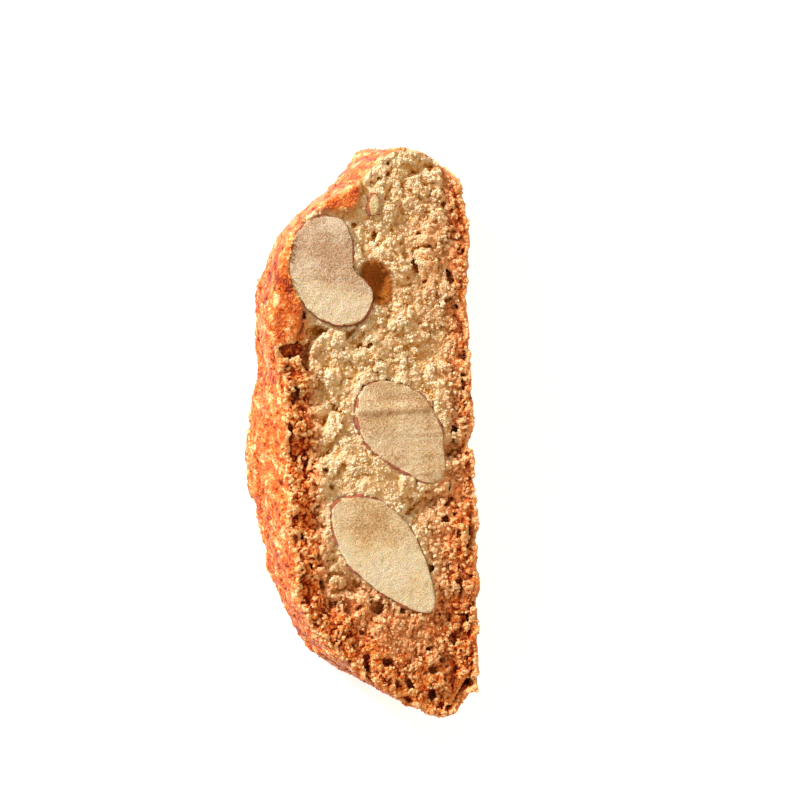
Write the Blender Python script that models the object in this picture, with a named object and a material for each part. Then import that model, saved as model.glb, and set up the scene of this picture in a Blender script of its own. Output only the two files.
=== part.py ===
"""An almond biscotto: one slice of a twice-baked almond loaf, lying on its back cut face.

+X points to the loaf's flat base, -X to its domed crust, +Y along the slice to its
blunt end and +Z out of the front cut face. The origin is on the table under the
middle of the slice. Lengths are metres, written as millimetres times MM.
"""

import math

import bmesh
import bpy
from mathutils import Matrix, Vector, noise

MM = 0.001

# The slice
THICKNESS = 14.0 * MM
BIAS = 0.8 * MM  # the knife went in a little askew, so the back face lies further along +Y
CUT_OUTLINE = (  # the front cut face, anticlockwise from the base side, in millimetres
    (15.5, 33.0),
    (13.2, 39.4),
    (4.0, 43.2),
    (-4.6, 37.6),
    (-12.4, 32.4),
    (-15.4, 25.0),
    (-15.3, 13.0),
    (-14.6, 0.0),
    (-14.6, -14.0),
    (-12.4, -26.5),
    (-3.0, -36.6),
    (8.4, -43.6),
    (13.6, -40.4),
    (15.5, -33.0),
)
OUTLINE_STEPS = 16
PLAN_CENTRE = Vector((-0.6, 0.25, 0.0)) * MM  # middle of the finished slice on the plan above

# Rolls and hollows of the crust: place, rise along the crust's normal, radius, in millimetres
CRUST_ROLLS = (
    ((-15.0, -3.0, 1.0), 2.9, 11.0),
    ((-15.5, 17.5, 12.0), 1.3, 6.0),
    ((-14.0, 28.0, 0.0), -1.7, 6.0),
    ((-1.0, 41.5, 2.0), -1.0, 4.5),
    ((-8.0, -33.0, 1.0), 1.4, 7.0),
    ((-15.0, 12.0, 1.0), -0.8, 4.0),
    ((-10.0, 34.0, -2.0), -3.0, 8.5),
    ((-4.5, 38.5, 14.0), -1.2, 4.5),
    ((-14.0, -21.0, 12.0), 0.8, 6.0),
    ((12.0, -43.0, 6.0), 0.8, 4.0),
)
# The crust's unevenness: height and length of each wave, in millimetres
CRUST_WAVES = ((0.55, 8.0), (0.35, 3.2))
CHIP_SIZE = 2.6 * MM  # of the crumbs that broke off the knife's edges
CHIP_DEPTH = 1.3 * MM
WORN = 0.5  # how far one smoothing pass rounds off the splinters of the torn surface

# The torn crumb of the cut faces, which never stands above the knife's plane
GRAIN_SIZE = 2.1 * MM
GRAIN_RELIEF = 0.75 * MM
TEAR_SIZE = 5.5 * MM
TEAR_RELIEF = 1.1 * MM

MESH_STEP = 0.8 * MM
BODY_TRIANGLES = 8800  # before the seats and holes are cut
CUT_FACING = 0.5  # a face whose normal has more of Z than this belongs to a cut face
FULL_FACING = 0.83  # and from here on it has the whole of the crumb's relief

# Almond kernels: cut section, anticlockwise, how deep the kernel reaches, and how far its
# nose lies from under the section's middle, all in millimetres
ALMONDS = {
    "almond_top": (
        (
            (-12.2, 31.0),
            (-13.7, 25.6),
            (-11.6, 20.7),
            (-7.4, 17.7),
            (-2.8, 17.9),
            (-0.6, 22.0),
            (-3.6, 25.8),
            (-3.7, 30.0),
            (-5.2, 33.0),
            (-9.4, 33.3),
        ),
        5.6,
        (3.4, -2.6),
    ),
    "almond_middle": (
        (
            (-3.9, 5.2),
            (-2.6, -0.4),
            (2.4, -4.5),
            (8.4, -7.2),
            (10.2, -3.6),
            (8.7, 3.6),
            (4.4, 7.8),
            (-1.4, 8.7),
        ),
        7.0,
        (-1.0, 1.2),
    ),
    "almond_lower": (
        (
            (-8.5, -12.0),
            (-6.2, -18.0),
            (0.0, -23.8),
            (6.9, -26.8),
            (7.5, -22.5),
            (4.4, -14.0),
            (-1.2, -8.8),
            (-7.2, -8.5),
        ),
        7.5,
        (0.8, 1.6),
    ),
    "almond_chip": (
        ((-0.7, 35.2), (-0.4, 33.4), (0.6, 33.6), (1.0, 35.3), (0.3, 36.6)),
        1.6,
        (0.0, 0.0),
    ),
}
BACK_ALMONDS = {
    "almond_back_upper": (
        (
            (-3.0, 20.6),
            (0.2, 16.6),
            (6.2, 14.8),
            (11.2, 18.4),
            (8.6, 24.2),
            (3.6, 26.6),
            (-2.0, 24.4),
        ),
        5.0,
        (-0.8, 0.6),
    ),
    "almond_back_lower": (
        (
            (-11.2, -9.6),
            (-10.4, -17.0),
            (-7.0, -22.0),
            (-2.8, -20.4),
            (-2.4, -11.4),
            (-5.4, -5.8),
            (-9.8, -5.0),
        ),
        4.6,
        (1.0, -0.8),
    ),
}
ALMOND_RINGS = 5
ALMOND_STEPS = 4
SEAT_GAP = 0.3 * MM  # baked crumb shrinks a little from the kernel
ALMOND_SETBACK = 0.15 * MM  # of the kernel's cut below the knife's plane
ALMOND_SIDE = 0.3 * MM  # depth at which the kernel's straight side turns into its nose
SEAT_MOUTH = 0.3 * MM  # how far a seat's cutter stands out of the slice

# Holes in the front face: centre, length, width and depth in millimetres, turn in degrees
HOLES = (
    ((0.3, 23.4), 6.4, 4.2, 3.6, 115),
    ((11.3, -35.6), 7.0, 2.6, 3.2, 62),
    ((9.0, -38.4), 5.2, 1.8, 2.8, 20),
    ((11.6, -30.6), 3.8, 1.9, 2.6, 20),
    ((-0.4, -33.6), 3.4, 1.9, 2.4, 140),
    ((1.0, -36.0), 4.6, 1.6, 2.2, 155),
    ((-9.6, -22.6), 4.8, 1.6, 2.4, 105),
    ((-10.6, -15.6), 4.2, 1.5, 2.2, 95),
    ((-13.2, 7.8), 6.0, 1.5, 2.6, 80),
    ((-9.8, 16.6), 4.6, 2.2, 2.4, 10),
    ((12.2, 25.0), 3.6, 1.5, 2.0, 80),
    ((12.2, -16.5), 5.6, 1.5, 2.2, 85),
)
HOLE_RISE = 0.35  # share of a hole's depth that its centre stands above the face

# A flat spot under the slice keeps clear of the crumb's relief
REST_SPOT = Vector((5.0, 0.0, 0.0)) * MM
REST_RADIUS = 3.5 * MM

CRUMB_COLOUR = (0.74, 0.47, 0.20, 1.0)
CRUST_COLOUR = (0.56, 0.21, 0.045, 1.0)
ALMOND_COLOUR = (0.79, 0.62, 0.40, 1.0)


def clear_scene():
    """Removes every object of the open file."""
    for thing in list(bpy.data.objects):
        bpy.data.objects.remove(thing, do_unlink=True)


def make_material(name, colour, roughness):
    """A Principled material of one colour."""
    material = bpy.data.materials.new(name)
    material.use_nodes = True
    shader = material.node_tree.nodes["Principled BSDF"]
    shader.inputs["Base Color"].default_value = colour
    shader.inputs["Roughness"].default_value = roughness
    shader.inputs["Metallic"].default_value = 0.0
    return material


def smooth_loop(corners, steps):
    """A closed Catmull-Rom loop through corners in millimetres, as 2-D vectors in metres."""
    points = [Vector(corner) * MM for corner in corners]
    loop = []
    for i in range(len(points)):
        before, start, end, after = (points[(i + k) % len(points)] for k in (-1, 0, 1, 2))
        for step in range(steps):
            t = step / steps
            loop.append(
                0.5
                * (
                    2 * start
                    + (end - before) * t
                    + (2 * before - 5 * start + 4 * end - after) * t**2
                    + (3 * start - before - 3 * end + after) * t**3
                )
            )
    return loop


def widened(loop, distance):
    """The loop moved outwards by a distance. It runs anticlockwise."""
    moved = []
    for i, point in enumerate(loop):
        along = (loop[(i + 1) % len(loop)] - loop[i - 1]).normalized()
        moved.append(point + Vector((along.y, -along.x)) * distance)
    return moved


def add_object(name, bm, *materials):
    """Turns a bmesh into a scene object with these materials."""
    mesh = bpy.data.meshes.new(name)
    bm.normal_update()
    bm.to_mesh(mesh)
    bm.free()
    for material in materials:
        mesh.materials.append(material)
    thing = bpy.data.objects.new(name, mesh)
    bpy.context.scene.collection.objects.link(thing)
    return thing


def apply_modifier(thing, kind, **settings):
    """Adds a modifier, and keeps the mesh that it makes."""
    modifier = thing.modifiers.new(kind.title(), kind)
    for name, value in settings.items():
        setattr(modifier, name, value)
    evaluated = thing.evaluated_get(bpy.context.evaluated_depsgraph_get())
    made = bpy.data.meshes.new_from_object(evaluated)
    thing.modifiers.clear()
    thing.data = made


def slice_blank():
    """The plain slice: the cut outline extruded, leaning by the knife's bias, in even quads."""
    loop = smooth_loop(CUT_OUTLINE, OUTLINE_STEPS)
    bm = bmesh.new()
    back = [bm.verts.new((point.x, point.y + BIAS, 0.0)) for point in loop]
    front = [bm.verts.new((point.x, point.y, THICKNESS)) for point in loop]
    bm.faces.new(reversed(back))
    bm.faces.new(front)
    for i in range(len(loop)):
        k = (i + 1) % len(loop)
        bm.faces.new((back[i], back[k], front[k], front[i]))
    blank = add_object("biscotto", bm)
    apply_modifier(blank, "REMESH", mode="VOXEL", voxel_size=MESH_STEP, adaptivity=0.0)
    return blank


def crust_rise(point):
    """How far the crust stands out at a point: its waves and its rolls."""
    rise = 0.0
    for height, length in CRUST_WAVES:
        rise += height * MM * noise.noise(point / (length * MM))
    for place, height, radius in CRUST_ROLLS:
        distance = (point - Vector(place) * MM).length / (radius * MM)
        rise += height * MM * math.exp(-distance * distance)
    return rise


def crumb_dip(point):
    """How far the crumb lies below the knife's plane: grains on a coarser tearing."""
    nearest = noise.voronoi(point / GRAIN_SIZE)[0][0]
    tear = max(0.0, noise.noise(point / TEAR_SIZE + Vector((7.3, 1.9, 4.1))))
    return GRAIN_RELIEF * min(nearest, 1.0) + TEAR_RELIEF * tear


def edge_chip(point, normal):
    """How far the knife's edge is chipped, from 0 on the flat sides to most on the arris."""
    lean = abs(normal.z)
    on_edge = max(0.0, 4.0 * lean * (1.0 - lean))  # 1 where the normal leans half way
    return CHIP_DEPTH * on_edge * abs(noise.noise(point / CHIP_SIZE))


def rest_fade(point):
    """0 on the flat spot that the slice rests on, and 1 away from it."""
    distance = (point - REST_SPOT).length
    return min(1.0, max(0.0, distance / REST_RADIUS - 1.0))


def bake(blank):
    """Moves the blank's surface: crust rolls on its wall, torn crumb on its two cut faces."""
    bm = bmesh.new()
    bm.from_mesh(blank.data)
    bm.normal_update()
    places = []
    for vert in bm.verts:
        facing = min(1.0, abs(vert.normal.z) / FULL_FACING)
        outwards = Vector((vert.normal.x, vert.normal.y, 0.0))
        move = outwards * crust_rise(vert.co)
        move -= vert.normal * crumb_dip(vert.co) * facing * rest_fade(vert.co)
        move -= vert.normal * edge_chip(vert.co, vert.normal)
        places.append(vert.co + move)
    for vert, place in zip(bm.verts, places):
        vert.co = place
    bmesh.ops.smooth_vert(
        bm, verts=bm.verts, factor=WORN, use_axis_x=True, use_axis_y=True, use_axis_z=True
    )
    for vert in bm.verts:
        vert.co.z = min(THICKNESS, max(0.0, vert.co.z))
        if (vert.co - REST_SPOT).length < REST_RADIUS:
            vert.co.z = 0.0
    bmesh.ops.recalc_face_normals(bm, faces=bm.faces)
    bm.to_mesh(blank.data)
    bm.free()


def kernel(name, section, depth, lean, down, material=None, spare=0.0):
    """An almond kernel cut by the knife: a flat section, rounding off to a nose inside.

    down is -1 under the front face and 1 over the back face. spare widens the shape
    all round and lifts its flat side out of the slice, which makes the kernel's seat.
    """
    loop = widened(smooth_loop(section, ALMOND_STEPS), spare)
    middle = sum(loop, Vector((0.0, 0.0))) / len(loop)
    nose_shift = Vector(lean) * MM
    reach_down = depth * MM + spare
    plane = THICKNESS if down < 0 else 0.0
    flat = plane + down * (ALMOND_SETBACK if spare == 0.0 else -SEAT_MOUTH)
    bm = bmesh.new()
    rings = [[bm.verts.new((point.x, point.y, flat)) for point in loop]]
    for ring in range(ALMOND_RINGS):
        angle = math.radians(90.0) * ring / ALMOND_RINGS
        height = plane + down * (ALMOND_SIDE + reach_down * math.sin(angle))
        centre = middle + nose_shift * math.sin(angle)
        reach = [centre + (point - middle) * math.cos(angle) for point in loop]
        rings.append([bm.verts.new((point.x, point.y, height)) for point in reach])
    tip = middle + nose_shift
    nose = bm.verts.new((tip.x, tip.y, plane + down * (ALMOND_SIDE + reach_down)))
    bm.faces.new(rings[0])
    for outer, inner in zip(rings, rings[1:]):
        for i in range(len(loop)):
            k = (i + 1) % len(loop)
            bm.faces.new((outer[i], inner[i], inner[k], outer[k]))
    for i in range(len(loop)):
        bm.faces.new((rings[-1][i], nose, rings[-1][(i + 1) % len(loop)]))
    bmesh.ops.recalc_face_normals(bm, faces=bm.faces)
    return add_object(name, bm, *([material] if material else []))


def hole(index, centre, length, width, depth, turn):
    """A pit in the front face: a squashed ball, turned in the face's plane."""
    bm = bmesh.new()
    bmesh.ops.create_icosphere(bm, subdivisions=2, radius=0.5)
    stretch = Matrix.Diagonal((length * MM, width * MM, 2.0 * depth * MM, 1.0))
    lift = THICKNESS + HOLE_RISE * depth * MM
    place = Matrix.Translation((centre[0] * MM, centre[1] * MM, lift))
    bm.transform(place @ Matrix.Rotation(math.radians(turn), 4, "Z") @ stretch)
    return add_object(f"hole_cutter_{index}", bm)


def cut_away(body, cutters):
    """Cuts each cutter out of the body, and removes the cutter.

    The solver is MANIFOLD because EXACT returns an empty body on the torn surface.
    """
    for cutter in cutters:
        cutter.hide_render = True
        cutter.display_type = "WIRE"
        apply_modifier(body, "BOOLEAN", operation="DIFFERENCE", object=cutter, solver="MANIFOLD")
        bpy.data.objects.remove(cutter, do_unlink=True)


def thin_out(body, triangles):
    """Collapses edges until the body has about this many triangles."""
    body.data.calc_loop_triangles()
    ratio = triangles / len(body.data.loop_triangles)
    if ratio < 1.0:
        apply_modifier(body, "DECIMATE", ratio=ratio, use_collapse_triangulate=True)


def drop_scraps(body):
    """Deletes crumbs that the cuts left loose, and keeps the largest connected piece."""
    bm = bmesh.new()
    bm.from_mesh(body.data)
    unseen = set(bm.verts)
    pieces = []
    while unseen:
        piece = set()
        edge_of_piece = [unseen.pop()]
        while edge_of_piece:
            vert = edge_of_piece.pop()
            piece.add(vert)
            for edge in vert.link_edges:
                other = edge.other_vert(vert)
                if other in unseen:
                    unseen.discard(other)
                    edge_of_piece.append(other)
        pieces.append(piece)
    slice_itself = max(pieces, key=len)
    loose = [vert for vert in bm.verts if vert not in slice_itself]
    bmesh.ops.delete(bm, geom=loose, context="VERTS")
    bm.to_mesh(body.data)
    bm.free()


def colour_faces(body, crumb, crust):
    """Crumb on the cut faces and crust on the wall."""
    body.data.materials.clear()
    body.data.materials.append(crumb)
    body.data.materials.append(crust)
    for polygon in body.data.polygons:
        polygon.material_index = 0 if abs(polygon.normal.z) > CUT_FACING else 1
    body.data.shade_flat()


def centre_on_origin():
    """Moves every mesh so that the middle of the slice stands on the origin."""
    for thing in bpy.context.scene.objects:
        thing.data.transform(Matrix.Translation(-PLAN_CENTRE))


def main():
    """Builds the slice and its almonds."""
    clear_scene()
    crumb = make_material("baked crumb", CRUMB_COLOUR, 0.85)
    crust = make_material("baked crust", CRUST_COLOUR, 0.45)
    nut = make_material("blanched almond", ALMOND_COLOUR, 0.6)

    body = slice_blank()
    bake(body)
    thin_out(body, BODY_TRIANGLES)

    cutters = []
    for kernels, down in ((ALMONDS, -1), (BACK_ALMONDS, 1)):
        for name, form in kernels.items():
            kernel(name, *form, down, nut)
            cutters.append(kernel(f"{name}_seat", *form, down, spare=SEAT_GAP))
    cutters += [hole(index, *sizes) for index, sizes in enumerate(HOLES)]
    cut_away(body, cutters)
    drop_scraps(body)
    colour_faces(body, crumb, crust)
    centre_on_origin()


main()
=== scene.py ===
"""The looks of an almond biscotto: one slice of a twice-baked almond loaf on a pale table.

The slice's crumb and crust are one field of distances on a fine lattice of points, in
which every grain, tear and pit is added or cut away. A net laid over that field gives
the mesh. The cut almonds are made in the same way. Sizes are in millimetres on the
plan of the slice, as in the part's source, and become metres when a mesh is built.
"""

import logging
import math
from dataclasses import dataclass, field
from enum import Enum
from functools import cached_property, partial
from itertools import product
from typing import Callable, Optional, Sequence

import bpy
import numpy as np
from mathutils import Matrix, Vector, noise


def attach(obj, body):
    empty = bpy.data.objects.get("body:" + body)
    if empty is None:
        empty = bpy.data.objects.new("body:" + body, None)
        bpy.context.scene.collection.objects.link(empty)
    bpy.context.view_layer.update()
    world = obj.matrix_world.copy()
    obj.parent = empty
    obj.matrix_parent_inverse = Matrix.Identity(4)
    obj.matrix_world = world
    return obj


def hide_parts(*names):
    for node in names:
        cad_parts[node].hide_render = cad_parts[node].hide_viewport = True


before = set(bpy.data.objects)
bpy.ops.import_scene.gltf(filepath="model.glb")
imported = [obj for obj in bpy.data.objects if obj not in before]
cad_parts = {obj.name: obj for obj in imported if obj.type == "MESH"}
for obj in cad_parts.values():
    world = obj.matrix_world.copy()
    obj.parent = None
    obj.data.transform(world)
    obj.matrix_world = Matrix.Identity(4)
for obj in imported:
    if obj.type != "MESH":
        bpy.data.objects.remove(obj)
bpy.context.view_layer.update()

MM = 0.001
PLAN_CENTRE = np.array((-0.6, 0.25, 0.0))  # middle of the slice on the plan
BODY = "root"
log = logging.getLogger("biscotto")

Array = np.ndarray
Corners = Sequence[tuple[float, float]]
Stops = Sequence[tuple[float, str]]  # a colour ramp's places from 0 to 1, and sRGB hex colours


class Face(Enum):
    """The slice's two cut faces. The value is the way from the face into the slice."""

    FRONT = -1
    BACK = 1


def linear(code: str) -> tuple[float, float, float, float]:
    """Turns an sRGB hex colour into the linear colour that a shader takes.

    Args:
        code: Six hex digits, with or without a leading #.

    Returns:
        Linear red, green, blue and an alpha of 1.
    """
    parts = [int(code.lstrip("#")[i : i + 2], 16) / 255.0 for i in (0, 2, 4)]
    red, green, blue = (
        part / 12.92 if part <= 0.04045 else ((part + 0.055) / 1.055) ** 2.4 for part in parts
    )
    return red, green, blue, 1.0


def ease(low: float, high: float, value: Array) -> Array:
    """Rises smoothly from 0 at low to 1 at high, or falls if high is the lower one."""
    share = np.clip((value - low) / (high - low), 0.0, 1.0)
    return share * share * (3.0 - 2.0 * share)


def blunt_max(first: Array, second: Array, width: float) -> Array:
    """The larger of two fields, rounded over a width where they meet."""
    share = np.clip(0.5 + 0.5 * (first - second) / width, 0.0, 1.0)
    return second + (first - second) * share + width * share * (1.0 - share)


def smooth_loop(corners: Corners, steps: int) -> Array:
    """A closed Catmull-Rom loop through corners.

    Args:
        corners: The corners in order.
        steps: Points on each stretch between two corners.

    Returns:
        The loop's points, one row each.
    """
    before, start, end, after = (np.roll(corners, shift, axis=0) for shift in (1, 0, -1, -2))
    slope, bend = end - before, 2.0 * before - 5.0 * start + 4.0 * end - after
    twist = 3.0 * start - before - 3.0 * end + after
    shares = (step / steps for step in range(steps))
    rows = [start + (slope * t + bend * t**2 + twist * t**3) / 2.0 for t in shares]
    return np.stack(rows, axis=1).reshape(-1, 2)


def loop_distance(x: Array, y: Array, loop: Array) -> Array:
    """Distance from a closed loop, negative inside it.

    Args:
        x: X of each place.
        y: Y of each place, in an array of the same shape.
        loop: The loop's points, one row each.

    Returns:
        The signed distance at each place.
    """
    nearest = np.full(x.shape, np.inf)
    inside = np.zeros(x.shape, bool)
    for (ax, ay), (bx, by) in zip(loop, np.roll(loop, -1, axis=0)):
        dx, dy = bx - ax, by - ay
        along = np.clip(((x - ax) * dx + (y - ay) * dy) / (dx * dx + dy * dy), 0.0, 1.0)
        nearest = np.minimum(nearest, (x - ax - along * dx) ** 2 + (y - ay - along * dy) ** 2)
        if ay != by:
            crossed = ((y < ay) != (y < by)) & (x < ax + (y - ay) * dx / dy)
            inside ^= crossed
    return np.where(inside, -1.0, 1.0) * np.sqrt(nearest)


@dataclass(frozen=True)
class Lattice:
    """An even lattice of points, in millimetres on the plan.

    Attributes:
        low: The lowest corner.
        high: The highest corner.
        step: The spacing.
    """

    low: tuple[float, float, float]
    high: tuple[float, float, float]
    step: float

    def axis(self, number: int) -> Array:
        """The lattice's places along one axis."""
        return np.arange(self.low[number], self.high[number], self.step, dtype=np.float32)

    def places(self) -> tuple[Array, Array, Array]:
        """X, Y and Z of the points, in arrays that broadcast to the lattice's shape."""
        x, y, z = (self.axis(number) for number in range(3))
        return x[:, None, None], y[None, :, None], z[None, None, :]

    def _weights(self, number: int, size: float, through: bool) -> Array:
        """Spline weights that spread coarse values over one axis of the lattice.

        Args:
            number: Which axis.
            size: The coarse values' spacing.
            through: Whether the spline passes through the values, or only near them.

        Returns:
            A matrix with a row for each place of the axis.
        """
        axis = self.axis(number)
        u = (axis - axis[0]) / size + 1.0
        base = np.floor(u).astype(int)
        f = u - base
        if through:
            shares = (-f + 2 * f**2 - f**3, 2 - 5 * f**2 + 3 * f**3, f + 4 * f**2 - 3 * f**3)
            shares = [share / 2.0 for share in (*shares, f**3 - f**2)]
        else:
            shares = ((1 - f) ** 3, 4 - 6 * f**2 + 3 * f**3, 1 + 3 * f + 3 * f**2 - 3 * f**3)
            shares = [share / 6.0 for share in (*shares, f**3)]
        rows = np.zeros((len(axis), base[-1] + 3), np.float32)
        for shift, share in zip((-1, 0, 1, 2), shares):
            rows[np.arange(len(axis)), base + shift] = share
        return rows

    def _spread(self, matrices: Sequence[Array], coarse: Array) -> Array:
        """Spreads coarse values over the lattice with one weight matrix for each axis."""
        spread = np.tensordot(matrices[0], coarse, axes=(1, 0))
        spread = np.tensordot(spread, matrices[1], axes=(1, 1))
        return np.tensordot(spread, matrices[2], axes=(1, 1))

    def rough(self, sizes: float | Sequence[float], seed: int) -> Array:
        """Smooth random unevenness.

        Args:
            sizes: The length of its waves, or one length for each axis.
            seed: The random seed.

        Returns:
            A value of about -2 to 2 at each point, with a deviation of 1.
        """
        sizes = [sizes] * 3 if isinstance(sizes, float) else sizes
        matrices = [self._weights(number, size, False) for number, size in enumerate(sizes)]
        shape = [matrix.shape[1] for matrix in matrices]
        coarse = np.random.default_rng(seed).standard_normal(shape).astype(np.float32)
        spread = self._spread(matrices, coarse)
        return spread / spread.std()

    def sampled(self, size: float, function: Callable[[Vector], float]) -> Array:
        """A slow function, read at coarse places and spread between them.

        Args:
            size: The spacing of the coarse places.
            function: Gives the value at a place in millimetres.

        Returns:
            The value at each point.
        """
        matrices = [self._weights(number, size, True) for number in range(3)]
        axes = [
            self.low[number] + size * (np.arange(matrices[number].shape[1]) - 1.0)
            for number in range(3)
        ]
        coarse = np.array(
            [[[function(Vector((x, y, z))) for z in axes[2]] for y in axes[1]] for x in axes[0]],
            np.float32,
        )
        return self._spread(matrices, coarse)

    def read(self, values: Array, points: Array) -> Array:
        """Values at any points, from the lattice points round them."""
        ways = np.array((values.shape[1] * values.shape[2], values.shape[2], 1))
        flat = np.zeros(len(points), int)
        shares = []
        for number in range(3):
            u = (points[:, number] - self.low[number]) / self.step
            u = np.clip(u, 0.0, values.shape[number] - 1.001)
            base = u.astype(int)
            flat += base * ways[number]
            shares.append((1.0 - (u - base), u - base))
        row = np.ascontiguousarray(values).ravel()
        total = np.zeros(len(points))
        for corner in product((0, 1), repeat=3):
            share = shares[0][corner[0]] * shares[1][corner[1]] * shares[2][corner[2]]
            total += share * row[flat + np.dot(corner, ways)]
        return total


def net(values: Array, lattice: Lattice) -> tuple[Array, Array]:
    """Lays a net of quads over the places where a field of distances passes zero.

    Args:
        values: The field, negative inside.
        lattice: The lattice that it is known on.

    Returns:
        The net's points, and four point numbers for each quad, facing outwards.
    """
    inside = values < 0.0
    cell_shape = tuple(count - 1 for count in values.shape)
    corners = np.zeros(cell_shape, np.uint8)
    for shift in product((0, 1), repeat=3):
        corners += inside[tuple(slice(s, s + n) for s, n in zip(shift, cell_shape))]
    cells = np.argwhere((corners > 0) & (corners < 8))
    number = np.full(cell_shape, -1, np.int32)
    number[tuple(cells.T)] = np.arange(len(cells))

    total = np.zeros((len(cells), 3))
    hits = np.zeros(len(cells))
    for along in range(3):
        unit = np.eye(3, dtype=int)[along]
        for shift in product((0, 1), repeat=2):
            offset = np.insert(np.array(shift), along, 0)
            start = values[tuple((cells + offset).T)]
            stop = values[tuple((cells + offset + unit).T)]
            crossed = (start < 0.0) != (stop < 0.0)
            share = start[crossed] / (start[crossed] - stop[crossed])
            total[crossed] += offset + share[:, None] * unit
            hits[crossed] += 1.0
    points = np.array(lattice.low) + (cells + total / hits[:, None]) * lattice.step

    quads = []
    for along in range(3):
        side, up = np.eye(3, dtype=int)[(along + 1) % 3], np.eye(3, dtype=int)[(along + 2) % 3]
        count = list(values.shape)
        count[along] -= 1
        first = inside[tuple(slice(0, n) for n in count)]
        second = inside[tuple(slice(int(a == along), int(a == along) + n) for a, n in enumerate(count))]
        spots = np.argwhere(first != second)
        spots = spots[(spots @ side > 0) & (spots @ up > 0)]
        spots = spots[np.all(spots < np.array(cell_shape), axis=1)]
        ring = [number[tuple((spots + s).T)] for s in (-side - up, -up, 0 * up, -side)]
        faces = np.stack(ring, axis=1)
        leaving = inside[tuple(spots.T)]
        quads.append(np.where(leaving[:, None], faces, faces[:, ::-1]))
    return points, np.concatenate(quads)


def main_part(points: Array, quads: Array) -> tuple[Array, Array]:
    """Keeps the largest connected part of a net, and drops loose crumbs."""
    label = np.arange(len(points))
    one, two = quads.ravel(), np.roll(quads, -1, axis=1).ravel()
    while True:
        least = np.minimum(label[one], label[two])
        fresh = label.copy()
        np.minimum.at(fresh, one, least)
        np.minimum.at(fresh, two, least)
        fresh = fresh[fresh]
        if np.array_equal(fresh, label):
            break
        label = fresh
    keep = label == np.bincount(label).argmax()
    renumbered = np.cumsum(keep) - 1
    return points[keep], renumbered[quads[keep[quads[:, 0]]]]


def rim_ways(quads: Array, count: int) -> tuple[Array, Array]:
    """Finds where an open net ends.

    Args:
        quads: The net's quads.
        count: How many points it has.

    Returns:
        The first and the last point of each edge on its rim, in the quads' direction.
    """
    start, stop = quads.ravel().astype(np.int64), np.roll(quads, -1, axis=1).ravel()
    ways, times = np.unique(start * count + stop, return_counts=True)
    back_ways = (ways % count) * count + ways // count
    spot = np.minimum(np.searchsorted(ways, back_ways), len(ways) - 1)
    returns = np.where(ways[spot] == back_ways, times[spot], 0)
    rim = np.repeat(ways, np.maximum(times - returns, 0))
    return rim // count, rim % count


def point_normals(points: Array, quads: Array) -> Array:
    """The outward normal at each point of a net."""
    across = points[quads[:, 2]] - points[quads[:, 0]]
    normals = np.cross(across, points[quads[:, 3]] - points[quads[:, 1]])
    total = np.zeros_like(points)
    for corner in range(4):
        for number in range(3):
            total[:, number] += np.bincount(quads[:, corner], normals[:, number], len(points))
    return total / np.maximum(np.linalg.norm(total, axis=1, keepdims=True), 1e-12)


def build_mesh(
    name: str,
    points: Array,
    faces: Sequence[Array],
    normals: Array,
    attributes: dict[str, Array],
    materials: Sequence[bpy.types.Material],
) -> bpy.types.Object:
    """Makes an object from arrays.

    Args:
        name: The piece's name.
        points: Its points, in millimetres on the plan.
        faces: Arrays of point numbers, each with its own count of corners.
        normals: The normal at each point.
        attributes: A value at each point, by name.
        materials: The materials of its slots, of which the faces take the first.

    Returns:
        The object, which stands at the origin.
    """
    mesh = bpy.data.meshes.new(name)
    loops = np.concatenate([rows.ravel() for rows in faces]).astype(np.int32)
    sizes = np.concatenate([np.full(len(rows), rows.shape[1]) for rows in faces])
    mesh.vertices.add(len(points))
    mesh.vertices.foreach_set("co", ((points - PLAN_CENTRE) * MM).astype(np.float32).ravel())
    mesh.loops.add(len(loops))
    mesh.loops.foreach_set("vertex_index", loops)
    mesh.polygons.add(len(sizes))
    mesh.polygons.foreach_set("loop_start", np.concatenate(([0], np.cumsum(sizes)[:-1])))
    mesh.update(calc_edges=True)
    for key, values in attributes.items():
        layer = mesh.attributes.new(key, "FLOAT", "POINT")
        layer.data.foreach_set("value", values.astype(np.float32))
    for material in materials:
        mesh.materials.append(material)
    mesh.shade_smooth()
    mesh.normals_split_custom_set_from_vertices(normals.astype(np.float32))
    piece = bpy.data.objects.new(name, mesh)
    bpy.context.scene.collection.objects.link(piece)
    return piece


def add_node(
    tree: bpy.types.NodeTree,
    kind: str,
    inputs: Sequence | dict = (),
    out: int | str = 0,
    stops: Stops = (),
    **settings: object,
) -> Optional[bpy.types.NodeSocket]:
    """Adds one node with its settings, values and links.

    Args:
        tree: The node tree.
        kind: The node's type.
        inputs: A value or a socket to link for each input, in order, or by name or number.
        out: Which of its outputs is wanted.
        stops: The stops of its colour ramp, if it has one.
        settings: Its properties by name.

    Returns:
        The output, or None if the node has none.
    """
    made = tree.nodes.new(kind)
    for key, value in settings.items():
        setattr(made, key, value)
    for key, value in inputs.items() if isinstance(inputs, dict) else enumerate(inputs):
        if isinstance(value, bpy.types.NodeSocket):
            tree.links.new(value, made.inputs[key])
        else:
            made.inputs[key].default_value = value
    if stops:
        elements = made.color_ramp.elements
        for element, (place, code) in zip(elements, (stops[0], stops[-1])):
            element.position, element.color = place, linear(code)
        for place, code in stops[1:-1]:
            elements.new(place).color = linear(code)
    return made.outputs[out] if len(made.outputs) else None


def fresh_material(name: str) -> tuple[bpy.types.Material, Callable]:
    """A material without nodes, and add_node for its tree."""
    material = bpy.data.materials.new(name)
    material.use_nodes = True
    material.node_tree.nodes.clear()
    return material, partial(add_node, material.node_tree)


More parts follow.
